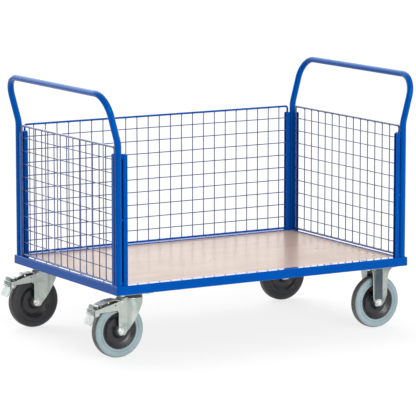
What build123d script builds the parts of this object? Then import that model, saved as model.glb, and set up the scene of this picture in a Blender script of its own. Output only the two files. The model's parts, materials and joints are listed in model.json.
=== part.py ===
from build123d import *
from math import atan2, cos, sin, tan
import os

# Platform trolley with three mesh walls, two tubular push bows and four castors.
# Lengths are in millimetres. X runs along the deck, Y across it and Z up from the floor.
# The open side of the deck faces -Y, the fixed castors are at +X and the swivel castors at -X.
# Every piece is made about the deck's centre, and save() then moves it along X, so that the
# origin is on the floor below the middle of the overall box.

os.makedirs("parts", exist_ok=True)

# ---------------------------------------------------------------- driving dimensions

frame_length = 1260.0
frame_width = 810.0
frame_bottom = 238.5
rail_height = 34.0
rail_width = 30.0
rail_wall = 2.0
rail_edge_radius = 3.0

board_thickness = 12.0
board_recess = 2.5
board_gap = 0.5
ledge_width = 22.0
ledge_thickness = 3.0
cross_member_width = 40.0
cross_member_spacing = 300.0

post_x = 614.0
post_y = 390.0
tube_diameter = 25.0
tube_wall = 2.0
bow_tilt_start = 785.0
bow_top = 962.0
bow_lean = 48.0
bow_lower_radius = 100.0
bow_upper_radius = 80.0

channel_width = 16.0
channel_depth = 16.5
channel_sheet = 2.0
channel_top = 749.0
channel_gap = 5.5
channel_corner = 6.0

rod_diameter = 8.0
rod_corner = 10.0
rod_inset = 7.0
wall_rod_bottom = 279.0
wall_rod_top = 771.5
wire_diameter = 4.0
wire_pitch = 50.0
lowest_wire = 325.5
wire_levels = 9
layer_gap = 0.05

wheel_radius = 100.0
wheel_width = 40.0
castor_y = 333.0
swivel_pivot_x = -531.0
swivel_offset = 57.5
fixed_castor_x = 530.5

plate_length = 135.0
plate_width = 110.0
plate_thickness = 4.5
plate_bolt_x = 52.5
plate_bolt_y = 32.0
plate_bolt_radius = 5.0
mounting_plate_thickness = 6.0
hex_head_height = 6.0
hex_head_radius = 9.0

fork_half_width = 27.5
fork_sheet = 3.5
crown_top = 221.0
crown_radius = 42.0
kingpin_radius = 8.0
race_radius = 37.0
dust_ring_radius = 41.0
dust_ring_height = 10.0
axle_radius = 6.0
sleeve_radius = 8.5
bearing_radius = 13.0
running_gap = 0.05
hub_radius = 68.0
boss_half_width = 23.5

pedal_pin_x = -99.0
pedal_pin_z = 168.0
blade_pin_x = 4.0
blade_pin_z = 206.5
pin_radius = 3.0
pedal_half_width = 23.0
leaf_half_width = 22.5
curl_half_width = 18.5

deck_centre_x = 20.0

# ---------------------------------------------------------------- derived dimensions

frame_top = frame_bottom + rail_height
half_length = frame_length / 2
half_width = frame_width / 2
inner_x = half_length - rail_width
inner_y = half_width - rail_width
board_top = frame_top - board_recess
board_bottom = board_top - board_thickness
tube_radius = tube_diameter / 2
rod_radius = rod_diameter / 2
wire_radius = wire_diameter / 2
plate_bottom = frame_bottom - plate_thickness
crown_bottom = crown_top - fork_sheet - 0.5
swivel_wheel_x = swivel_pivot_x - swivel_offset

# Distance from a post's centre to the near face of the channels beside it.
channel_start = tube_radius + channel_gap
# Distance from a post's centre to the upright rod inside those channels.
rod_offset = channel_start + rod_inset


# ---------------------------------------------------------------- helpers

def block(x_range, y_range, z_range):
    """Box between two corners, given as one range for each axis."""
    ranges = (x_range, y_range, z_range)
    centre = [(low + high) / 2 for low, high in ranges]
    size = [high - low for low, high in ranges]
    return Pos(*centre) * Box(*size)


def cylinder_z(radius, z_range, x=0.0, y=0.0):
    """Upright cylinder."""
    low, high = z_range
    return Pos(x, y, (low + high) / 2) * Cylinder(radius, high - low)


def cylinder_y(radius, y_range, x=0.0, z=0.0):
    """Cylinder along Y."""
    low, high = y_range
    return Pos(x, (low + high) / 2, z) * Rot(90, 0, 0) * Cylinder(radius, high - low)


def cylinder_x(radius, x_range, y=0.0, z=0.0):
    """Cylinder along X."""
    low, high = x_range
    return Pos((low + high) / 2, y, z) * Rot(0, 90, 0) * Cylinder(radius, high - low)


def hexagon_z(radius, z_range, x=0.0, y=0.0):
    """Upright hexagonal nut or bolt head."""
    low, high = z_range
    return Pos(x, y, low) * extrude(RegularPolygon(radius, 6), high - low)


def hexagon_y(radius, y_range, x=0.0, z=0.0):
    """Hexagonal nut or bolt head along Y."""
    low, high = y_range
    return Pos(x, high, z) * Rot(90, 0, 0) * extrude(RegularPolygon(radius, 6), high - low)


def side_prism(points, radii, half_depth):
    """Closed outline in X and Z with rounded corners, drawn out both ways along Y."""
    outline = FilletPolyline(*points, radius=radii, close=True)
    return extrude(Plane.XZ * make_face(outline), half_depth, both=True)


def strip(points, thickness, half_depth, radius=0.0):
    """Bent strip that follows points in X and Z and is drawn out both ways along Y."""
    bends = [radius] * (len(points) - 2)
    path = FilletPolyline(*points, radius=bends) if bends else Polyline(*points)
    return extrude(Plane.XZ * trace(path, thickness), half_depth, both=True)


def ring_y(profile):
    """Ring about the Y axis, from a closed outline of (Y, radius) points."""
    outline = Polyline(*[(0, y, radius) for y, radius in profile], close=True)
    return revolve(make_face(outline), Axis.Y)


def joined(solids):
    """One node that holds several separate solids."""
    return Compound(list(solids))


def save(name, shape):
    """Write one node about the origin below the middle of the overall box."""
    solids = [Pos(deck_centre_x, 0, 0) * solid for solid in shape.solids()]
    node = solids[0] if len(solids) == 1 else Compound(solids)
    export_step(node, f"parts/{name}.step")


# ---------------------------------------------------------------- frame and deck

def rail(along_x, side):
    """Rectangular tube on one side of the frame, mitred at both ends."""
    length, offset = (frame_length, inner_y) if along_x else (frame_width, inner_x)
    outer = RectangleRounded(rail_width, rail_height, rail_edge_radius)
    inner = Rectangle(rail_width - 2 * rail_wall, rail_height - 2 * rail_wall)
    tube = extrude(outer - inner, length / 2, both=True)
    across = offset + rail_width / 2
    middle = frame_bottom + rail_height / 2
    half = length / 2
    # The mitre's outline is drawn on the +Y side and turned to the side wanted.
    mitre = make_face(Polyline(
        (-half, offset + rail_width),
        (half, offset + rail_width),
        (half - rail_width, offset),
        (-half + rail_width, offset),
        close=True,
    ))
    placed = Pos(0, across, middle) * Rot(0, 90, 0) * Rot(0, 0, 90) * tube
    trimmed = placed & Pos(0, 0, frame_bottom) * extrude(mitre, rail_height)
    turn = {(True, 1): 0, (False, -1): 90, (True, -1): 180, (False, 1): 270}
    return Rot(0, 0, turn[(along_x, side)]) * trimmed


def cross_member(x):
    """Low rectangular tube across the frame, under the board."""
    half = cross_member_width / 2
    outer = block((x - half, x + half), (-inner_y, inner_y), (frame_bottom, board_bottom))
    hollow = block(
        (x - half + rail_wall, x + half - rail_wall),
        (-inner_y, inner_y),
        (frame_bottom + rail_wall, board_bottom - rail_wall),
    )
    return outer - hollow


def board_ledges():
    """Flat strips inside the end rails and between the cross members, under the board's edge."""
    height = (board_bottom - ledge_thickness, board_bottom)
    ends = [
        block(sorted((side * inner_x, side * (inner_x - ledge_width))), (-inner_y, inner_y), height)
        for side in (-1, 1)
    ]
    half_member = cross_member_width / 2
    last = cross_member_spacing + half_member
    bays = [
        (-inner_x + ledge_width, -last),
        (-cross_member_spacing + half_member, -half_member),
        (half_member, cross_member_spacing - half_member),
        (last, inner_x - ledge_width),
    ]
    sides = [
        block(bay, sorted((side * inner_y, side * (inner_y - ledge_width))), height)
        for bay in bays
        for side in (-1, 1)
    ]
    return joined(ends + sides)


def castor_places():
    """Centre of each castor's top plate."""
    return [(x, y) for x in (swivel_pivot_x, fixed_castor_x) for y in (-castor_y, castor_y)]


def bolt_places():
    """Centre of each bolt through the castors' top plates."""
    return [
        (x + dx, y + dy)
        for x, y in castor_places()
        for dx in (-plate_bolt_x, plate_bolt_x)
        for dy in (-plate_bolt_y, plate_bolt_y)
    ]


def mounting_plate(x, y):
    """Steel plate inside a corner of the frame, which a castor is bolted to."""
    side = 1 if y > 0 else -1
    across = sorted((side * inner_y, side * (castor_y - plate_width / 2 - 10)))
    top = frame_bottom + mounting_plate_thickness
    end = 1 if x > 0 else -1
    along = sorted((end * inner_x, x - end * (plate_length / 2 + 10)))
    plate = block(along, across, (frame_bottom, top))
    for dx in (-plate_bolt_x, plate_bolt_x):
        for dy in (-plate_bolt_y, plate_bolt_y):
            hole = cylinder_z(plate_bolt_radius + 0.5, (frame_bottom - 1, top + 1), x + dx, y + dy)
            plate -= hole
    return plate


def plate_bolt(x, y):
    """Hexagon bolt that comes up through a castor's top plate and the mounting plate."""
    top = frame_bottom + mounting_plate_thickness + 9
    head = hexagon_z(hex_head_radius, (plate_bottom - hex_head_height, plate_bottom), x, y)
    return head + cylinder_z(plate_bolt_radius, (plate_bottom - 1, top), x, y)


def plate_nut(x, y):
    """Hexagon nut on top of the mounting plate."""
    bottom = frame_bottom + mounting_plate_thickness
    nut = hexagon_z(hex_head_radius, (bottom, bottom + 7), x, y)
    return nut - cylinder_z(plate_bolt_radius + running_gap, (bottom - 1, bottom + 8), x, y)


# ---------------------------------------------------------------- push bows, channels and walls

def bow_tube(side, radius):
    """Solid bar that follows a push bow: up, outwards, across and down again."""
    foot = side * post_x
    top = side * (post_x + bow_lean)
    path = FilletPolyline(
        (foot, -post_y, frame_top),
        (foot, -post_y, bow_tilt_start),
        (top, -post_y, bow_top),
        (top, post_y, bow_top),
        (foot, post_y, bow_tilt_start),
        (foot, post_y, frame_top),
        radius=[bow_lower_radius, bow_upper_radius, bow_upper_radius, bow_lower_radius],
    )
    section = Pos(foot, -post_y, frame_top) * Circle(radius)
    return sweep(section, path=path)


def push_bow(side):
    """Round steel tube that is both posts and the handle of one end."""
    return bow_tube(side, tube_radius) - bow_tube(side, tube_radius - tube_wall)


def channel():
    """Folded channel that stands on the frame, open towards +X, with its back at X = 0."""
    half = channel_width / 2
    height = (frame_top, channel_top)
    outer = block((0, channel_depth), (-half, half), height)
    slot = block((channel_sheet, channel_depth), (-half + channel_sheet, half - channel_sheet), height)
    corner = block(
        (channel_depth - channel_corner, channel_depth),
        (-half, half),
        (channel_top - channel_corner, channel_top),
    )
    round_off = cylinder_y(
        channel_corner, (-half, half), channel_depth - channel_corner, channel_top - channel_corner
    )
    return outer - slot - (corner - round_off)


def post_channels(end, side):
    """The two channels beside one post: one faces along the deck and one across it."""
    x = end * post_x
    y = side * post_y
    along = Pos(x - end * channel_start, y, 0) * Rot(0, 0, 0 if end < 0 else 180) * channel()
    across = Pos(x, y - side * channel_start, 0) * Rot(0, 0, -side * 90) * channel()
    return joined([along, across])


def wall_rods(half_span):
    """Hoop of round rod that stands on the frame, and the rod across its foot."""
    path = FilletPolyline(
        (-half_span, 0, frame_top),
        (-half_span, 0, wall_rod_top),
        (half_span, 0, wall_rod_top),
        (half_span, 0, frame_top),
        radius=[rod_corner, rod_corner],
    )
    section = Pos(-half_span, 0, frame_top) * Circle(rod_radius)
    hoop = sweep(section, path=path)
    bottom = cylinder_x(rod_radius, (-half_span, half_span), z=wall_rod_bottom)
    return hoop + bottom


def wall_wires(half_span, half_count):
    """Upright wires, and level wires on the inner side of them, welded between the rods."""
    behind = wire_radius / 2
    front = behind - wire_diameter - layer_gap
    upright = [
        cylinder_z(wire_radius, (wall_rod_bottom, wall_rod_top), index * wire_pitch, behind)
        for index in range(-half_count, half_count + 1)
    ]
    level = [
        cylinder_x(wire_radius, (-half_span, half_span), front, lowest_wire + index * wire_pitch)
        for index in range(wire_levels)
    ]
    return joined(upright + level)


# ---------------------------------------------------------------- wheels, made about the axle

def tyre():
    """Solid rubber tyre with a groove in each side and rounded shoulders."""
    half = wheel_width / 2
    side = [
        (half - 2.6, hub_radius),
        (half - 1.1, hub_radius + 1.5),
        (half - 0.6, hub_radius + 7.4),
        (half - 2.0, hub_radius + 8.6),
        (half - 2.0, hub_radius + 10.0),
        (half - 0.5, hub_radius + 11.3),
        (half, hub_radius + 16.0),
        (half - 0.4, wheel_radius - 9.0),
        (half - 1.8, wheel_radius - 7.0),
        (half - 4.0, wheel_radius - 3.6),
        (half - 7.5, wheel_radius - 1.2),
        (half - 12.5, wheel_radius),
    ]
    mirrored = [(-y, radius) for y, radius in reversed(side)]
    return ring_y(side + mirrored)


def wheel_hub():
    """Plastic wheel body: rim, dished web and long boss."""
    rim = wheel_width / 2 - 3.0
    side = [
        (boss_half_width, bearing_radius),
        (boss_half_width, 18.5),
        (boss_half_width - 1.5, 20.5),
        (11.5, 26.5),
        (8.0, 30.0),
        (7.0, 46.0),
        (9.0, 51.5),
        (rim - 2.5, 60.5),
        (rim - 0.6, 62.5),
        (rim, 64.5),
        (rim, hub_radius),
    ]
    mirrored = [(-y, radius) for y, radius in reversed(side)]
    return ring_y(side + mirrored)


def wheel_bearings():
    """Two bearing rings in the boss, which turn on the axle sleeve."""
    bore = sleeve_radius + running_gap
    rings = [
        cylinder_y(bearing_radius, (low, low + 12)) - cylinder_y(bore, (low - 1, low + 13))
        for low in (-boss_half_width, boss_half_width - 12)
    ]
    return joined(rings)


def axle_sleeve(half_gap):
    """Steel tube that the fork clamps and the wheel turns on."""
    outer = cylinder_y(sleeve_radius, (-half_gap, half_gap))
    return outer - cylinder_y(axle_radius + running_gap, (-half_gap - 1, half_gap + 1))


def axle_bolt(half_fork):
    """Axle bolt with its head at +Y."""
    shank = cylinder_y(axle_radius, (-half_fork - 9.0, half_fork + 1.0))
    return shank + hexagon_y(9.5, (half_fork, half_fork + 7.0))


def axle_nut(half_fork):
    """Nut with a washer on the -Y end of the axle bolt."""
    washer = cylinder_y(11.5, (-half_fork - 2.0, -half_fork))
    nut = hexagon_y(9.5, (-half_fork - 8.0, -half_fork - 2.0))
    return washer + nut - cylinder_y(axle_radius + running_gap, (-half_fork - 9.0, -half_fork + 1.0))


# ---------------------------------------------------------------- castors

def castor_plate():
    """Rectangular top plate with rounded corners and four bolt holes, about its centre."""
    plate = extrude(RectangleRounded(plate_length, plate_width, 10), plate_thickness)
    plate = Pos(0, 0, plate_bottom) * plate
    for dx in (-plate_bolt_x, plate_bolt_x):
        for dy in (-plate_bolt_y, plate_bolt_y):
            hole = (plate_bottom - 1, frame_bottom + 1)
            plate -= cylinder_z(plate_bolt_radius + 0.5, hole, dx, dy)
    return plate


def swivel_plate():
    """Top plate with the upper ball race below it and a recess for the kingpin's head."""
    race_bottom = crown_top + 5.0
    race = cylinder_z(race_radius, (race_bottom, plate_bottom))
    plate = castor_plate() + race
    plate -= cylinder_z(kingpin_radius + 6.5, (plate_bottom + 0.5, frame_bottom + 1))
    return plate - cylinder_z(kingpin_radius + running_gap, (race_bottom - 1, frame_bottom))


def ball_ring():
    """Dust ring of the lower race, on the fork's crown: its rim stands round the upper race."""
    top = crown_top + dust_ring_height
    ring = cylinder_z(dust_ring_radius, (crown_top, top))
    ring -= cylinder_z(kingpin_radius + 4, (crown_top - 1, top + 1))
    return ring - cylinder_z(race_radius + 0.8, (crown_top + 4.7, top + 1))


def kingpin():
    """Rivet that holds the fork up against the top plate and lets it turn."""
    head = cylinder_z(kingpin_radius + 6, (plate_bottom + 0.8, frame_bottom - 0.5))
    shank = cylinder_z(kingpin_radius, (crown_bottom - 6, plate_bottom + 1.0))
    foot = cylinder_z(kingpin_radius + 5, (crown_bottom - 8, crown_bottom))
    return head + shank + foot


def swivel_fork():
    """Pressed fork, about the wheel's centre line: two legs, a round crown and two brake arms."""
    pivot = swivel_offset
    front = -130.0
    low = 70.0
    # Flat cheeks run into the wider, round drum of the crown and leave a crease beside it.
    cheeks = block((front, pivot), (-fork_half_width, fork_half_width), (low, crown_top))
    drum = cylinder_z(crown_radius, (low, crown_top), pivot)
    drum = fillet(drum.edges().sort_by(Axis.Z)[-1:], 5.0)
    inner = fork_half_width - fork_sheet
    gap = block((front - 1, pivot), (-inner, inner), (low - 1, crown_bottom))
    bowl = cylinder_z(crown_radius - fork_sheet, (low - 1, crown_bottom), pivot)
    outline = side_prism(
        [
            (-8.5, 84.0),
            (17.5, 84.0),
            (63.0, 160.0),
            (101.0, 221.0),
            (17.0, 221.0),
            (10.0, 213.0),
            (-105.5, 183.0),
            (-107.5, 161.0),
            (-91.0, 161.0),
            (-85.0, 173.0),
            (-8.5, 177.5),
        ],
        [9.0, 10.0, 0.0, 0.0, 0.0, 6.0, 5.0, 6.5, 6.5, 3.0, 12.0],
        crown_radius + 5,
    )
    body = (cheeks + drum - gap - bowl) & outline
    body -= cylinder_z(kingpin_radius, (crown_bottom - 1, crown_top + 1), pivot)
    # A round swelling is pressed outwards about the hole in each cheek.
    for side in (-1, 1):
        swelling = sorted((side * (inner + 1), side * (fork_half_width + 0.8)))
        body += cylinder_y(6.5, swelling, -22.0, 196.5)
    holes = [
        (0.0, wheel_radius, axle_radius + running_gap),
        (-22.0, 196.5, 3.0),
        (blade_pin_x, blade_pin_z, pin_radius),
        (pedal_pin_x, pedal_pin_z, pin_radius),
    ]
    for x, z, radius in holes:
        body -= cylinder_y(radius, (-60, 60), x, z)
    return body


def brake_pedal():
    """Two-way foot pedal: cheeks on the pin, a wide lower tab, a narrow upper tab and a spur."""
    x = pedal_pin_x
    z = pedal_pin_z
    cheek = side_prism(
        [
            (x + 8, z - 8),
            (x + 8, z + 8),
            (x - 3, z + 12),
            (x - 5, z + 20),
            (x - 13, z + 20),
            (x - 12.5, z + 4),
            (x - 9, z - 1),
            (x - 13.5, z - 14),
        ],
        [7.0, 7.0, 3.0, 2.0, 2.0, 2.0, 2.0, 2.0],
        pedal_half_width,
    )
    cheek -= block((x - 8.5, x + 30), (3 - pedal_half_width, pedal_half_width - 3), (z - 30, z + 30))
    lower = strip([(x - 8, z - 4), (x - 12, z - 12), (x - 24, z - 38)], 3.5, 30.0, 10.0)
    lower &= Pos(x - 15, 0, z - 20) * Rot(0, 90, 0) * extrude(
        RectangleRounded(38, 60, 17), 40, both=True
    )
    upper = strip([(x - 10, z + 14), (x - 8.5, z + 36)], 3.0, 15.0)
    upper &= Pos(x, 0, z + 20) * Rot(0, 90, 0) * extrude(RectangleRounded(33, 30, 11), 30, both=True)
    spur = strip([(x - 9, z + 15), (x - 17, z + 15.5), (x - 27, z + 20)], 3.0, 7.0, 6.0)
    knob = cylinder_y(3.2, (-pedal_half_width, pedal_half_width), x - 14.5, z + 3.5)
    pedal = cheek + lower + upper + spur + knob
    return pedal - cylinder_y(pin_radius + running_gap, (-60, 60), x, z)


def brake_blade():
    """Curved brake leaf over the wheel: an eye on its pin, a bowed leaf and a rolled end."""
    x = blade_pin_x
    z = blade_pin_z
    eye = cylinder_y(5.0, (-leaf_half_width, leaf_half_width), x, z)
    leaf = strip(
        [(x, z + 3.5), (x - 18, z + 8.0), (x - 50, z + 5.5), (x - 84, z - 6)],
        2.8,
        leaf_half_width,
        30.0,
    )
    curl_x = x - 88.0
    curl_z = z - 13.2
    curl = cylinder_y(8.0, (-curl_half_width, curl_half_width), curl_x, curl_z)
    curl -= cylinder_y(5.4, (-30, 30), curl_x, curl_z)
    curl -= block((curl_x + 1, curl_x + 12), (-30, 30), (curl_z - 7.5, curl_z - 0.5))
    blade = eye + leaf + curl
    return blade - cylinder_y(pin_radius + running_gap, (-30, 30), x, z)


def brake_pins():
    """Pins of the pedal and of the brake leaf, held in the fork's arms."""
    reach = fork_half_width + 2.0
    pins = [
        cylinder_y(pin_radius, (-reach, reach), blade_pin_x, blade_pin_z),
        cylinder_y(pin_radius, (-reach, reach), pedal_pin_x, pedal_pin_z),
    ]
    return joined(pins)


def leg_section(height, web, spread, depth):
    """Section of a fixed fork's leg: a flat web and two flanges that lean outwards from it."""
    face = -fork_half_width
    lean = atan2(depth, spread - web)
    bend = web + fork_sheet * tan(lean / 2)
    tip_x = spread + fork_sheet * sin(lean)
    tip_y = face - depth + fork_sheet * cos(lean)
    half = [(web, face), (spread, face - depth), (tip_x, tip_y), (bend, face + fork_sheet)]
    mirrored = [(-x, y) for x, y in reversed(half)]
    outline = Polyline(*[(x, y, height) for x, y in half + mirrored], close=True)
    return make_face(outline)


def fixed_fork():
    """Pressed fork of a fixed castor, about its centre line: top plate, crown and two legs."""
    leg = loft(
        [
            leg_section(80.0, 12.5, 17.0, 2.5),
            leg_section(125.0, 17.5, 28.5, 12.5),
            leg_section(190.0, 17.5, 30.5, 14.0),
            leg_section(212.0, 18.0, 33.5, 16.0),
            leg_section(224.0, 19.0, 38.0, 19.0),
            leg_section(plate_bottom, 21.0, 46.5, 23.5),
        ],
        ruled=True,
    )
    leg &= side_prism(
        [(-13.5, 84.5), (13.5, 84.5), (36.0, 128.0), (60.0, 236.0), (-60.0, 236.0), (-36.0, 128.0)],
        [11.0, 11.0, 12.0, 0.0, 0.0, 12.0],
        80.0,
    )
    crown_edge = fork_half_width - 0.5
    crown = block((-20, 20), (-crown_edge, crown_edge), (plate_bottom - fork_sheet, plate_bottom))
    fork = castor_plate() + crown + leg + Rot(0, 0, 180) * leg
    return fork - cylinder_y(axle_radius + running_gap, (-60, 60), 0, wheel_radius)


# ---------------------------------------------------------------- writing the nodes

save("front_rail", rail(True, -1))
save("back_rail", rail(True, 1))
save("left_rail", rail(False, -1))
save("right_rail", rail(False, 1))

member_places = [-cross_member_spacing, 0.0, cross_member_spacing]
save("cross_members", joined([cross_member(x) for x in member_places]))
save("board_ledges", board_ledges())
save("castor_mounting_plates", joined([mounting_plate(x, y) for x, y in castor_places()]))
save("plate_bolts", joined([plate_bolt(x, y) for x, y in bolt_places()]))
save("plate_nuts", joined([plate_nut(x, y) for x, y in bolt_places()]))

board_x = inner_x - board_gap
board_y = inner_y - board_gap
save("deck_board", block((-board_x, board_x), (-board_y, board_y), (board_bottom, board_top)))

save("push_bow_left", push_bow(-1))
save("push_bow_right", push_bow(1))
for end_name, end in (("left", -1), ("right", 1)):
    for side_name, side in (("front", -1), ("back", 1)):
        save(f"{side_name}_{end_name}_channels", post_channels(end, side))

back_span = post_x - rod_offset
end_span = post_y - rod_offset
back_place = Pos(0, post_y, 0)
left_place = Pos(-post_x, 0, 0) * Rot(0, 0, 90)
right_place = Pos(post_x, 0, 0) * Rot(0, 0, -90)
walls = (
    ("back", back_place, back_span, int(back_span // wire_pitch)),
    ("left", left_place, end_span, int((end_span - wire_pitch) // wire_pitch)),
    ("right", right_place, end_span, int((end_span - wire_pitch) // wire_pitch)),
)
for name, place, span, count in walls:
    save(f"{name}_wall_rods", place * wall_rods(span))
    save(f"{name}_wall_wires", place * wall_wires(span, count))

sleeve_half = fork_half_width - fork_sheet - 0.1
axle_height = Pos(0, 0, wheel_radius)
for name, side in (("front_left", -1), ("back_left", 1)):
    pivot_place = Pos(swivel_pivot_x, side * castor_y, 0)
    wheel_line = Pos(swivel_wheel_x, side * castor_y, 0)
    axle_place = wheel_line * axle_height
    save(f"{name}_swivel_plate", pivot_place * swivel_plate())
    save(f"{name}_ball_ring", pivot_place * ball_ring())
    save(f"{name}_kingpin", pivot_place * kingpin())
    save(f"{name}_fork", wheel_line * swivel_fork())
    save(f"{name}_axle_bolt", axle_place * axle_bolt(fork_half_width))
    save(f"{name}_axle_nut", axle_place * axle_nut(fork_half_width))
    save(f"{name}_axle_sleeve", axle_place * axle_sleeve(sleeve_half))
    save(f"{name}_brake_pedal", wheel_line * brake_pedal())
    save(f"{name}_brake_blade", wheel_line * brake_blade())
    save(f"{name}_brake_pins", wheel_line * brake_pins())
    save(f"{name}_hub", axle_place * wheel_hub())
    save(f"{name}_tyre", axle_place * tyre())
    save(f"{name}_bearings", axle_place * wheel_bearings())

fixed_places = []
for name, side in (("front_right", -1), ("back_right", 1)):
    wheel_line = Pos(fixed_castor_x, side * castor_y, 0)
    axle_place = wheel_line * axle_height
    fixed_places.append(axle_place)
    save(f"{name}_fork", wheel_line * fixed_fork())
    save(f"{name}_hub", axle_place * wheel_hub())
    save(f"{name}_tyre", axle_place * tyre())
    save(f"{name}_bearings", axle_place * wheel_bearings())
save("fixed_axle_bolts", joined([place * axle_bolt(fork_half_width) for place in fixed_places]))
save("fixed_axle_nuts", joined([place * axle_nut(fork_half_width) for place in fixed_places]))
save("fixed_axle_sleeves", joined([place * axle_sleeve(sleeve_half) for place in fixed_places]))
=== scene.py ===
import json
import math
import random

import bmesh
import bpy
from mathutils import Matrix, Vector


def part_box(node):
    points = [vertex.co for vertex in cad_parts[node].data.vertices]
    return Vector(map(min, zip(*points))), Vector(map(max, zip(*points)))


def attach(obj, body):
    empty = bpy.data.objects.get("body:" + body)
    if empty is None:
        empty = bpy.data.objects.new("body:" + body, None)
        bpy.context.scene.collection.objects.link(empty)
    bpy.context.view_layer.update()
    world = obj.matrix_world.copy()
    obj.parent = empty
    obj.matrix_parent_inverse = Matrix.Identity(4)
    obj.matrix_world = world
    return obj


# Looks of a platform trolley with three mesh walls. Lengths are in metres.
# X runs along the deck, Y across it and Z up from the floor; the open side faces -Y.

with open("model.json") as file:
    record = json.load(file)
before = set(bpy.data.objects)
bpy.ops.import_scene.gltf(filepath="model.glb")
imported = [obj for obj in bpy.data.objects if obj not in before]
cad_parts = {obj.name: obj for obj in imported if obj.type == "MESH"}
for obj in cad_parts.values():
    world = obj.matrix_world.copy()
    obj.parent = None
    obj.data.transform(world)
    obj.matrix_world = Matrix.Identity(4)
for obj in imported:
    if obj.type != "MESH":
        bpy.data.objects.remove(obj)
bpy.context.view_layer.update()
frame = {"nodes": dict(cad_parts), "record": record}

NODES = frame["nodes"]
SLOT_OF = {part["node"]: part["material_slot"] for part in frame["record"]["subparts"]}


# ---------------------------------------------------------------- material helpers

class Material:
    """A node material with short calls for the nodes that the finishes below share."""

    def __init__(self, name, roughness, metallic=0.0, specular=0.5):
        self.material = bpy.data.materials.new(name)
        self.material.use_nodes = True
        self.tree = self.material.node_tree
        self.shader = self.tree.nodes["Principled BSDF"]
        self.shader.inputs["Roughness"].default_value = roughness
        self.shader.inputs["Metallic"].default_value = metallic
        self.shader.inputs["Specular IOR Level"].default_value = specular
        self.place = self.tree.nodes.new("ShaderNodeTexCoord")

    def node(self, kind, links=None, **values):
        """New node, with sockets linked or set by name or number, and settings by attribute."""
        made = self.tree.nodes.new(kind)
        for key, value in values.items():
            setattr(made, key, value)
        for key, value in (links or {}).items():
            if isinstance(value, bpy.types.NodeSocket):
                self.tree.links.new(value, made.inputs[key])
            else:
                made.inputs[key].default_value = value
        return made

    def stretched(self, scale):
        """Object coordinates scaled along each axis."""
        links = {"Vector": self.place.outputs["Object"], "Scale": scale}
        mapping = self.node("ShaderNodeMapping", links)
        return mapping.outputs["Vector"]

    def noise(self, scale, detail=3.0, roughness=0.5, stretch=(1, 1, 1), distortion=0.0):
        """Noise value from 0 to 1."""
        links = {
            "Vector": self.stretched(stretch),
            "Scale": scale,
            "Detail": detail,
            "Roughness": roughness,
            "Distortion": distortion,
        }
        return self.node("ShaderNodeTexNoise", links).outputs["Fac"]

    def ramp(self, value, *stops):
        """Number or colour along stops of (position, level or colour)."""
        made = self.node("ShaderNodeValToRGB", {"Fac": value})
        elements = made.color_ramp.elements
        while len(elements) < len(stops):
            elements.new(1.0)
        for element, (position, level) in zip(elements, stops):
            colour = level if isinstance(level, tuple) else (level, level, level)
            element.position = position
            element.color = (*colour, 1.0)
        return made.outputs["Color"]

    def math(self, operation, first, second=0.0):
        """Arithmetic on two numbers."""
        return self.node("ShaderNodeMath", {0: first, 1: second}, operation=operation).outputs[0]

    def mix(self, share, first, second):
        """Two colours mixed."""
        made = self.node("ShaderNodeMix", data_type="RGBA", blend_type="MIX")
        for key, value in ((0, share), (6, first), (7, second)):
            if isinstance(value, bpy.types.NodeSocket):
                self.tree.links.new(value, made.inputs[key])
            elif key == 0:
                made.inputs[key].default_value = value
            else:
                made.inputs[key].default_value = (*value, 1.0)
        return made.outputs[2]

    def colour(self, value):
        """Sets the base colour."""
        self.tree.links.new(value, self.shader.inputs["Base Color"])

    def roughness(self, value):
        """Sets the roughness."""
        self.tree.links.new(value, self.shader.inputs["Roughness"])

    def bump(self, *layers):
        """Adds bump layers of (height, distance in metres, strength)."""
        normal = None
        for height, distance, strength in layers:
            links = {"Height": height, "Distance": distance, "Strength": strength}
            if normal is not None:
                links["Normal"] = normal
            normal = self.node("ShaderNodeBump", links).outputs["Normal"]
        self.tree.links.new(normal, self.shader.inputs["Normal"])

    def edges(self, radius, low, high):
        """Mask that is 1 beside edges, within about that radius in metres, and 0 elsewhere."""
        rounded = self.node("ShaderNodeBevel", {"Radius": radius}, samples=4)
        plain = self.node("ShaderNodeNewGeometry").outputs["Normal"]
        links = {0: rounded.outputs["Normal"], 1: plain}
        likeness = self.node("ShaderNodeVectorMath", links, operation="DOT_PRODUCT").outputs["Value"]
        return self.ramp(self.math("SUBTRACT", 1.0, likeness), (low, 0.0), (high, 1.0))


# ---------------------------------------------------------------- finishes

def blue_paint(name, specular):
    """Glossy blue powder coat: orange peel, slight mottling, a little dust, rubbed edges."""
    m = Material(name, 0.2, specular=specular)
    m.shader.inputs["Specular Tint"].default_value = PAINT_TINT
    cloud = m.noise(6.0, 4.0)
    base = m.ramp(cloud, (0.3, (0.0001, 0.055, 0.292)), (0.7, (0.0002, 0.063, 0.326)))
    speck = m.ramp(m.noise(420.0, 2.0), (0.70, 0.0), (0.80, 0.10))
    base = m.mix(speck, base, (0.05, 0.12, 0.34))
    beside_edges = m.edges(0.0016, 0.02, 0.22)
    patches = m.ramp(m.noise(55.0, 5.0, 0.6), (0.45, 0.0), (0.75, 0.55))
    rubbed = m.math("MULTIPLY", beside_edges, patches)
    base = m.mix(rubbed, base, (0.06, 0.15, 0.40))
    m.colour(base)
    m.roughness(m.ramp(m.noise(18.0, 5.0), (0.3, 0.04), (0.75, 0.09)))
    peel = m.noise(900.0, 2.0)
    m.bump((peel, 0.00006, 0.15), (m.noise(40.0, 3.0), 0.0002, 0.05))
    return m.material


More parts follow.
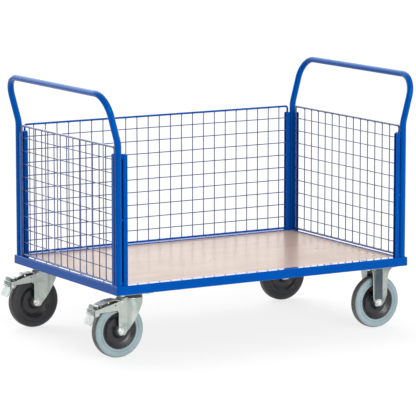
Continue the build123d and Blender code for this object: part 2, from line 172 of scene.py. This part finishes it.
def dusty_paint():
    """The walls' paint: a greyer, duller blue, matched to the thin wires in the photograph."""
    m = Material("dusty_paint", 0.22, specular=WALL_SPECULAR)
    cloud = m.noise(11.0, 5.0, 0.6)
    base = m.ramp(cloud, (0.3, WALL_SHADE), (0.7, WALL_LIGHT))
    m.colour(base)
    m.roughness(m.ramp(m.noise(30.0, 5.0), (0.3, 0.16), (0.75, 0.26)))
    m.bump((m.noise(900.0, 2.0), 0.00006, 0.2))
    return m.material


def deck_laminate():
    """Beech-pattern laminate: short fine flecks along X, broad faint figure, a few scuffs."""
    m = Material("deck_laminate", 0.14, specular=DECK_SPECULAR)
    figure = m.noise(9.0, 5.0, 0.55, stretch=(0.35, 2.2, 1.0))
    base = m.ramp(
        figure,
        (0.30, DECK_SHADE),
        (0.55, DECK_MIDDLE),
        (0.80, DECK_LIGHT),
    )
    flecks = m.ramp(m.noise(330.0, 2.0, 0.5, stretch=(0.16, 1.3, 1.0)), (0.42, 0.0), (0.80, 0.24))
    base = m.mix(flecks, base, DECK_FLECK)
    scuff = m.ramp(m.noise(7.0, 4.0, 0.55, stretch=(1.0, 0.4, 1.0)), (0.60, 0.0), (0.85, 0.10))
    base = m.mix(scuff, base, (0.70, 0.62, 0.57))
    m.colour(base)
    m.roughness(m.ramp(m.noise(5.0, 3.0), (0.25, 0.27), (0.8, 0.34)))
    m.bump((m.noise(90.0, 2.0), 0.00003, 0.08))
    return m.material


def zinc_base(m):
    """Cool and warm clouds of bright zinc, with smudges and fine rolling marks."""
    cloud = m.noise(14.0, 5.0, 0.6, distortion=0.6)
    base = m.ramp(
        cloud,
        (0.28, (0.27, 0.33, 0.33)),
        (0.50, (0.43, 0.475, 0.445)),
        (0.72, (0.55, 0.56, 0.50)),
    )
    grime = m.ramp(m.noise(45.0, 6.0, 0.65), (0.58, 0.0), (0.80, 0.30))
    base = m.mix(grime, base, (0.30, 0.32, 0.31))
    beside_edges = m.edges(0.0012, 0.03, 0.25)
    patches = m.ramp(m.noise(90.0, 4.0), (0.35, 0.1), (0.65, 0.6))
    worn = m.math("MULTIPLY", beside_edges, patches)
    m.roughness(m.ramp(m.noise(30.0, 6.0, 0.6), (0.3, 0.22), (0.7, 0.40)))
    m.bump((m.noise(260.0, 4.0, stretch=(1.0, 1.0, 0.2)), 0.00012, 0.3))
    return m.mix(worn, base, (0.72, 0.75, 0.72))


def zinc_plate():
    """Bright zinc on pressed steel."""
    m = Material("zinc_plate", 0.36, metallic=0.85)
    m.colour(zinc_base(m))
    return m.material


def shade_painted_zinc():
    """The brake parts' zinc, mixed darker, because they are darker in the photograph."""
    m = Material("shade_painted_zinc", 0.36, metallic=0.85)
    # Painted shade: the zinc is mixed toward dark grey, a shaded copy of the same zinc that dims its lit
    # look.
    m.colour(m.mix(PAINTED_SHADE_SHARE, zinc_base(m), PAINTED_SHADE_ZINC))
    return m.material


def zinc_with_painted_web_shade():
    """The fixed forks' zinc with painted shade: the flat web between the flanges is painted a dark
    blue-grey, standing in for shade and a dark reflection in the recess.
    """
    m = Material("zinc_with_painted_web_shade", 0.36, metallic=0.85)
    split = m.node("ShaderNodeSeparateXYZ", {0: m.place.outputs["Generated"]})
    across = m.math("ABSOLUTE", m.math("SUBTRACT", split.outputs["X"], 0.5))
    ragged = m.math("MULTIPLY", m.math("SUBTRACT", m.noise(60.0, 4.0), 0.5), 0.012)
    web = m.ramp(m.math("ADD", across, ragged), (0.124, 1.0), (0.136, 0.0))
    below_plate = m.ramp(split.outputs["Z"], (0.965, 1.0), (0.972, 0.0))
    above_nut = m.ramp(split.outputs["Z"], (0.13, 0.0), (0.18, 1.0))
    share = m.math("MULTIPLY", m.math("MULTIPLY", web, below_plate), above_nut)
    # Painted shade: dark blue-grey colours for the recessed web, in place of the shade and dark reflection
    # that fall there.
    web_painted_shade = m.ramp(
        m.noise(38.0, 6.0, 0.6, stretch=(1.0, 1.0, 0.6)),
        (0.30, (0.050, 0.072, 0.088)),
        (0.60, (0.088, 0.115, 0.132)),
        (0.80, (0.20, 0.235, 0.245)),
    )
    m.colour(m.mix(share, zinc_base(m), web_painted_shade))
    return m.material


def fastener_steel():
    """Zinc-plated screws, nuts and pins: brighter, with dull patches."""
    m = Material("fastener_steel", 0.28, metallic=0.9)
    base = m.ramp(m.noise(70.0, 4.0), (0.3, (0.60, 0.62, 0.62)), (0.7, (0.82, 0.83, 0.81)))
    dull = m.ramp(m.noise(160.0, 4.0), (0.60, 0.0), (0.75, 0.4))
    m.colour(m.mix(dull, base, (0.38, 0.37, 0.34)))
    m.roughness(m.ramp(m.noise(120.0, 3.0), (0.3, 0.20), (0.7, 0.38)))
    m.bump((m.noise(500.0, 3.0), 0.0001, 0.25))
    return m.material


def wheel_radius_share(m):
    """Distance from the axle as a share of the piece's own outer radius."""
    split = m.node("ShaderNodeSeparateXYZ", {0: m.place.outputs["Generated"]})
    across = m.math("SUBTRACT", split.outputs["X"], 0.5)
    up = m.math("SUBTRACT", split.outputs["Z"], 0.5)
    squares = m.math("ADD", m.math("MULTIPLY", across, across), m.math("MULTIPLY", up, up))
    return m.math("MULTIPLY", m.math("SQRT", squares), 2.0)


def tyre_rubber(name, side_dark, side_light, tread, dust):
    """Solid rubber: clean side, scuffed darker tread and a dusty bloom; on the grey tyre the far darker
    tread is partly scuffing and mostly painted shade of the rounded tread.
    """
    m = Material(name, 0.5, specular=0.35)
    share = wheel_radius_share(m)
    side = m.ramp(m.noise(12.0, 5.0), (0.3, side_dark), (0.7, side_light))
    edge = m.math("ADD", share, m.math("MULTIPLY", m.math("SUBTRACT", m.noise(55.0, 4.0), 0.5), 0.02))
    # Tread ring near the outer radius: scuffing on both tyres, and on the grey tyre painted shade as well.
    worn = m.ramp(edge, (0.962, 0.0), (0.985, 1.0))
    tread_colour = m.ramp(m.noise(40.0, 6.0), (0.3, tread), (0.7, dust))
    m.colour(m.mix(worn, side, tread_colour))
    m.roughness(m.ramp(m.noise(70.0, 5.0), (0.3, 0.40), (0.7, 0.58)))
    m.bump((m.noise(420.0, 4.0), 0.0002, 0.30), (m.noise(60.0, 4.0), 0.0004, 0.10))
    return m.material


def hub_plastic():
    """Black moulded plastic with a fine grain, light scratches and dust in the dish."""
    m = Material("hub_plastic", 0.3, specular=0.5)
    base = m.ramp(m.noise(20.0, 5.0), (0.3, (0.007, 0.007, 0.0085)), (0.7, (0.015, 0.015, 0.018)))
    dust = m.ramp(m.noise(38.0, 7.0, 0.65), (0.60, 0.0), (0.80, 0.16))
    m.colour(m.mix(dust, base, (0.07, 0.068, 0.066)))
    m.roughness(m.ramp(m.noise(50.0, 5.0), (0.3, 0.22), (0.7, 0.40)))
    m.bump((m.noise(900.0, 3.0), 0.00008, 0.3))
    return m.material


PAINT_TINT = (0.0, 0.45, 0.9, 1.0)
PAINT_SPECULAR = 0.22
BOW_SPECULAR = 0.35
BACK_RAIL_SPECULAR = 0.01
# Share and colour of the painted shade on the brake parts' zinc.
PAINTED_SHADE_SHARE = 0.45
PAINTED_SHADE_ZINC = (0.13, 0.14, 0.14)
WALL_SPECULAR = 0.50
WALL_SHADE = (0.055, 0.076, 0.200)
WALL_LIGHT = (0.088, 0.106, 0.235)
DECK_SPECULAR = 0.04
DECK_SHADE = (0.350, 0.255, 0.205)
DECK_MIDDLE = (0.384, 0.287, 0.235)
DECK_LIGHT = (0.412, 0.315, 0.263)
DECK_FLECK = (0.25, 0.14, 0.09)

FINISHES = {
    "blue_paint": blue_paint("blue_paint", PAINT_SPECULAR),
    "deck_laminate": deck_laminate(),
    "zinc_plate": zinc_plate(),
    "fastener_steel": fastener_steel(),
    # Painted shade: the grey tyre's tread colours are far darker than its side, standing in for the shade
    # on the rounded tread, with some scuffing.
    "grey_tyre": tyre_rubber(
        "grey_tyre",
        side_dark=(0.20, 0.268, 0.288),
        side_light=(0.265, 0.345, 0.365),
        tread=(0.060, 0.056, 0.052),
        dust=(0.105, 0.099, 0.093),
    ),
    "black_tyre": tyre_rubber(
        "black_tyre",
        side_dark=(0.018, 0.019, 0.022),
        side_light=(0.032, 0.034, 0.038),
        tread=(0.034, 0.031, 0.029),
        dust=(0.062, 0.056, 0.05),
    ),
    "hub_plastic": hub_plastic(),
}
FIXED_FORKS = ("front_right_fork", "back_right_fork")

for node_name, node in NODES.items():
    node.data.materials.clear()
    node.data.materials.append(FINISHES[SLOT_OF[node_name]])
# The fixed forks get zinc with painted shade on the web between their flanges.
fixed_fork_shaded_zinc = zinc_with_painted_web_shade()
for node_name in FIXED_FORKS:
    NODES[node_name].data.materials[0] = fixed_fork_shaded_zinc
# The brake pedals and blades get the zinc with painted shade.
brake_dimmed_zinc = shade_painted_zinc()
for corner in ("front_left", "back_left"):
    NODES[f"{corner}_brake_pedal"].data.materials[0] = brake_dimmed_zinc
    NODES[f"{corner}_brake_blade"].data.materials[0] = brake_dimmed_zinc
NODES["back_rail"].data.materials[0] = blue_paint("dull_paint", BACK_RAIL_SPECULAR)
bow_finish = blue_paint("bow_paint", BOW_SPECULAR)
for node_name in ("push_bow_left", "push_bow_right"):
    NODES[node_name].data.materials[0] = bow_finish
wall_finish = dusty_paint()
for node_name, node in NODES.items():
    if "_wall_" in node_name and node_name != "back_wall_rods":
        node.data.materials[0] = wall_finish


# ---------------------------------------------------------------- welds

TUBE_RADIUS = 0.0125
CHANNEL_GAP = 0.0055
CHANNEL_HALF = 0.008
WIRE_PITCH = 0.050
LOWEST_WIRE_RISE = 0.0465
WIRE_LEVELS = 9
ROD_RADIUS = 0.004
CROSS_MEMBER_WIDTH = 0.040
NUGGET_RADIUS = 0.0026
BEAD_SIDES = 10
BEAD_STEP = 0.0007
RIPPLE_STEPS = 4
POST_BEAD = 0.0016
POST_BEAD_OFFSET = 0.0004
CHANNEL_BEAD = 0.0014
CHANNEL_BEAD_RISE = 0.0002
CHANNEL_BEAD_RUN = (0.002, 0.014)
GAP_BEAD = 0.0034
GAP_BEAD_LEAN = 0.0035
LOW_GAP_BEAD = (0.001, 0.012)
MIDDLE_GAP_HALF = 0.006
TOP_GAP_BEAD = (0.020, 0.004)
MEMBER_BEAD = 0.0022
MEMBER_BEAD_RISE = 0.0014
MEMBER_SIDE_GAPS = (0.003, 0.002)

FRAME_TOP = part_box("front_rail")[1].z
CHANNEL_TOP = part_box("front_left_channels")[1].z
POST_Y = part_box("push_bow_left")[1].y - TUBE_RADIUS
POST_X = {
    "left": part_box("push_bow_left")[1].x - TUBE_RADIUS,
    "right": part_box("push_bow_right")[0].x + TUBE_RADIUS,
}


def publish(name, builder, body, finish):
    """Makes a piece of a finished bmesh, and sets its body and its finish."""
    mesh = bpy.data.meshes.new(name)
    builder.to_mesh(mesh)
    builder.free()
    for face in mesh.polygons:
        face.use_smooth = True
    mesh.materials.append(finish)
    piece = bpy.data.objects.new(name, mesh)
    bpy.context.collection.objects.link(piece)
    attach(piece, body)
    return piece


def straight(start, end):
    """Points along a straight weld, one step apart."""
    start, end = Vector(start), Vector(end)
    count = max(8, round((end - start).length / BEAD_STEP))
    return [start.lerp(end, index / count) for index in range(count + 1)]


def circle(centre, radius):
    """Points of a level ring, one step apart and a whole number of ripples long."""
    ripples = round(2 * math.pi * radius / (BEAD_STEP * RIPPLE_STEPS))
    count = ripples * RIPPLE_STEPS
    turns = [2 * math.pi * index / count for index in range(count)]
    return [Vector(centre) + radius * Vector((math.cos(a), math.sin(a), 0.0)) for a in turns]


def bead(builder, points, radius, closed=False):
    """Weld bead along points: rings that swell and drop in ripples, with rounded ends."""
    count = len(points)
    rings = []
    for index, point in enumerate(points):
        before = points[index - 1] if closed or index else point
        after = points[(index + 1) % count] if closed or index < count - 1 else point
        along = (after - before).normalized()
        guide = Vector((1, 0, 0)) if abs(along.z) > 0.7 else Vector((0, 0, 1))
        side = along.cross(guide).normalized()
        up = side.cross(along)
        swell = radius * (1.0 - 0.05 * (index % RIPPLE_STEPS))
        if not closed:
            swell *= min(1.0, 0.4 + 0.2 * min(index, count - 1 - index))
        ring = []
        for turn in range(BEAD_SIDES):
            angle = 2 * math.pi * turn / BEAD_SIDES
            ring.append(builder.verts.new(point + swell * (math.cos(angle) * side + math.sin(angle) * up)))
        rings.append(ring)
    joins = list(zip(rings, rings[1:] + rings[:1])) if closed else list(zip(rings, rings[1:]))
    for first, second in joins:
        for turn in range(BEAD_SIDES):
            following = (turn + 1) % BEAD_SIDES
            builder.faces.new((first[turn], first[following], second[following], second[turn]))
    if not closed:
        builder.faces.new(list(reversed(rings[0])))
        builder.faces.new(rings[-1])


def post_welds(end, side):
    """Welds of one corner: round the post's foot, along the channels' feet and in the gaps."""
    builder = bmesh.new()
    inward_x = 1 if end == "left" else -1
    outward_y = -1 if side == "front" else 1
    x = POST_X[end]
    y = outward_y * POST_Y
    ring_centre = (x, y, FRAME_TOP + POST_BEAD_OFFSET)
    bead(builder, circle(ring_centre, TUBE_RADIUS + POST_BEAD_OFFSET), POST_BEAD, closed=True)
    near = TUBE_RADIUS + CHANNEL_GAP
    foot = FRAME_TOP + CHANNEL_BEAD_RISE
    for across in (-CHANNEL_HALF, CHANNEL_HALF):
        run_x = [(x + inward_x * (near + share), y + across, foot) for share in CHANNEL_BEAD_RUN]
        run_y = [(x + across, y - outward_y * (near + share), foot) for share in CHANNEL_BEAD_RUN]
        bead(builder, straight(*run_x), CHANNEL_BEAD)
        bead(builder, straight(*run_y), CHANNEL_BEAD)
    gap = TUBE_RADIUS + CHANNEL_GAP / 2
    middle = (FRAME_TOP + CHANNEL_TOP) / 2
    levels = (
        (FRAME_TOP + LOW_GAP_BEAD[0], FRAME_TOP + LOW_GAP_BEAD[1]),
        (middle - MIDDLE_GAP_HALF, middle + MIDDLE_GAP_HALF),
        (CHANNEL_TOP - TOP_GAP_BEAD[0], CHANNEL_TOP - TOP_GAP_BEAD[1]),
    )
    for low, high in levels:
        for lean in (-GAP_BEAD_LEAN, GAP_BEAD_LEAN):
            places = ((x + inward_x * gap, y + lean), (x + lean, y - outward_y * gap))
            for place_x, place_y in places:
                bead(builder, straight((place_x, place_y, low), (place_x, place_y, high)), GAP_BEAD)
    publish(f"{side}_{end}_post_welds", builder, "chassis", FINISHES["blue_paint"])


def nugget(builder, dice, centre, radius):
    """Small uneven lump of weld metal."""
    shape = Matrix.Translation(centre) @ Matrix.Scale(radius, 4)
    made = bmesh.ops.create_icosphere(builder, subdivisions=1, radius=1.0, matrix=shape)
    for vertex in made["verts"]:
        vertex.co = centre + (vertex.co - centre) * dice.uniform(0.90, 1.08)


def wall_welds(name, seed):
    """Resistance welds of one wall: at each crossing of wires, and where wires meet the rods."""
    builder = bmesh.new()
    dice = random.Random(seed)
    low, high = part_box(f"{name}_wall_wires")
    centre = (low + high) / 2
    size = high - low
    run = Vector((1, 0, 0)) if size.x > size.y else Vector((0, 1, 0))
    half_span = max(size.x, size.y) / 2
    spare = 0.0 if run.x else WIRE_PITCH
    half_count = int((half_span - spare) // WIRE_PITCH)
    levels = [low.z + LOWEST_WIRE_RISE + level * WIRE_PITCH for level in range(WIRE_LEVELS)]
    bottom = low.z + ROD_RADIUS
    top = high.z - ROD_RADIUS
    places = []
    for index in range(-half_count, half_count + 1):
        places += [(index * WIRE_PITCH, height) for height in [bottom, *levels, top]]
    for end in (-1, 1):
        places += [(end * (half_span - ROD_RADIUS), height) for height in levels]
    for along, height in places:
        spot = centre + along * run
        spot.z = height
        nugget(builder, dice, spot, NUGGET_RADIUS)
    publish(f"{name}_wall_welds", builder, "chassis", wall_finish)


def under_welds():
    """Welds under the deck, where the cross members meet the long rails."""
    builder = bmesh.new()
    low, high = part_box("cross_members")
    width = CROSS_MEMBER_WIDTH
    centre = (low.x + high.x) / 2
    reach = (high.x - low.x - width) / 2
    for member in (-reach, 0.0, reach):
        x = centre + member
        for y in (low.y, high.y):
            foot = low.z + MEMBER_BEAD_RISE
            bead(builder, straight((x - width / 2, y, foot), (x + width / 2, y, foot)), MEMBER_BEAD)
            start, end = low.z + MEMBER_SIDE_GAPS[0], high.z - MEMBER_SIDE_GAPS[1]
            for edge in (x - width / 2, x + width / 2):
                bead(builder, straight((edge, y, start), (edge, y, end)), MEMBER_BEAD)
    publish("cross_member_welds", builder, "chassis", FINISHES["blue_paint"])


for end_name in ("left", "right"):
    for side_name in ("front", "back"):
        post_welds(end_name, side_name)
for order, wall_name in enumerate(("back", "left", "right")):
    wall_welds(wall_name, order)
under_welds()


# ---------------------------------------------------------------- studio and camera

LENS = 248.1
CAMERA_FROM_DECK = (-5.4915, -9.2655)
CAMERA_HEIGHT = 2.1091
CAMERA_DIP = 8.725
CAMERA_TURN = -30.606
FLOOR_REACH = 60.0
FLOOR_COLOUR = 0.2
FLOOR_GLOW = 0.76
WORLD_BASE = 0.14
BACK_LOBE = ((0.05, 0.90, 0.42), 0.55, 0.98, 3.3)
TOP_LOBE = ((0.0, 0.0, 1.0), 0.30, 1.0, 0.75)
FRONT_LOBE = ((0.35, -0.90, 0.20), 0.30, 1.0, 0.5)
HORIZON_HEIGHT = 0.22
HORIZON_LEVEL = 0.85
SUN_FROM = (-0.06, -0.93, 0.36)
SUN_STRENGTH = 2.0
SUN_ANGLE = 30.0


def fade(tree, value, start, end, first, last):
    """Smooth change of a level from first to last as a value goes from start to end."""
    made = tree.nodes.new("ShaderNodeMapRange")
    made.interpolation_type = "SMOOTHSTEP"
    tree.links.new(value, made.inputs["Value"])
    made.inputs["From Min"].default_value = start
    made.inputs["From Max"].default_value = end
    made.inputs["To Min"].default_value = first
    made.inputs["To Max"].default_value = last
    return made.outputs["Result"]


def world_lobe(tree, direction, lobe):
    """Extra brightness of the world about one direction, fading out with the angle."""
    toward, low, high, level = lobe
    dot = tree.nodes.new("ShaderNodeVectorMath")
    dot.operation = "DOT_PRODUCT"
    dot.inputs[1].default_value = Vector(toward).normalized()
    tree.links.new(direction, dot.inputs[0])
    return fade(tree, dot.outputs["Value"], low, high, 0.0, level)


def horizon(tree, direction):
    """Pale band of the world along the horizon, so that the floor has no dark far edge."""
    split = tree.nodes.new("ShaderNodeSeparateXYZ")
    tree.links.new(direction, split.inputs[0])
    return fade(tree, split.outputs["Z"], 0.0, HORIZON_HEIGHT, HORIZON_LEVEL, 0.0)


def studio():
    """Pale floor, a broad soft sun from the open side, and a world that is bright behind."""
    mesh = bpy.data.meshes.new("floor")
    signs = ((-1, -1), (1, -1), (1, 1), (-1, 1))
    corners = [(x_sign * FLOOR_REACH, y_sign * FLOOR_REACH, 0) for x_sign, y_sign in signs]
    mesh.from_pydata(corners, [], [(0, 1, 2, 3)])
    floor = bpy.data.objects.new("floor", mesh)
    bpy.context.collection.objects.link(floor)
    paint = bpy.data.materials.new("floor_paint")
    paint.use_nodes = True
    shader = paint.node_tree.nodes["Principled BSDF"]
    shader.inputs["Base Color"].default_value = (FLOOR_COLOUR, FLOOR_COLOUR, FLOOR_COLOUR, 1.0)
    shader.inputs["Roughness"].default_value = 0.9
    shader.inputs["Specular IOR Level"].default_value = 0.0
    shader.inputs["Emission Color"].default_value = (1.0, 1.0, 1.0, 1.0)
    shader.inputs["Emission Strength"].default_value = FLOOR_GLOW
    mesh.materials.append(paint)

    world = bpy.data.worlds.new("studio")
    world.use_nodes = True
    tree = world.node_tree
    direction = tree.nodes.new("ShaderNodeTexCoord").outputs["Generated"]
    levels = [world_lobe(tree, direction, lobe) for lobe in (BACK_LOBE, TOP_LOBE, FRONT_LOBE)]
    total = None
    for level in [*levels, horizon(tree, direction)]:
        add = tree.nodes.new("ShaderNodeMath")
        tree.links.new(level, add.inputs[0])
        add.inputs[1].default_value = WORLD_BASE
        if total is not None:
            tree.links.new(total, add.inputs[1])
        total = add.outputs[0]
    background = tree.nodes["Background"]
    background.inputs["Color"].default_value = (1.0, 1.0, 1.0, 1.0)
    tree.links.new(total, background.inputs["Strength"])
    bpy.context.scene.world = world

    light = bpy.data.lights.new("key", "SUN")
    light.energy = SUN_STRENGTH
    light.angle = math.radians(SUN_ANGLE)
    lamp = bpy.data.objects.new("key", light)
    lamp.rotation_euler = (-Vector(SUN_FROM)).to_track_quat("-Z", "Y").to_euler()
    bpy.context.collection.objects.link(lamp)


def camera():
    """Camera at the photograph's viewing angle: a long lens that looks down by about 9 degrees."""
    data = bpy.data.cameras.new("camera")
    data.sensor_width = 36.0
    data.lens = LENS
    data.clip_end = 200.0
    made = bpy.data.objects.new("camera", data)
    deck_low, deck_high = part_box("deck_board")
    deck_centre = (deck_low[0] + deck_high[0]) / 2
    from_deck_x, from_deck_y = CAMERA_FROM_DECK
    made.location = (deck_centre + from_deck_x, from_deck_y, CAMERA_HEIGHT)
    made.rotation_euler = (math.radians(90 - CAMERA_DIP), 0.0, math.radians(CAMERA_TURN))
    bpy.context.collection.objects.link(made)
    bpy.context.scene.camera = made


studio()
camera()
bpy.context.scene.view_settings.view_transform = "Standard"
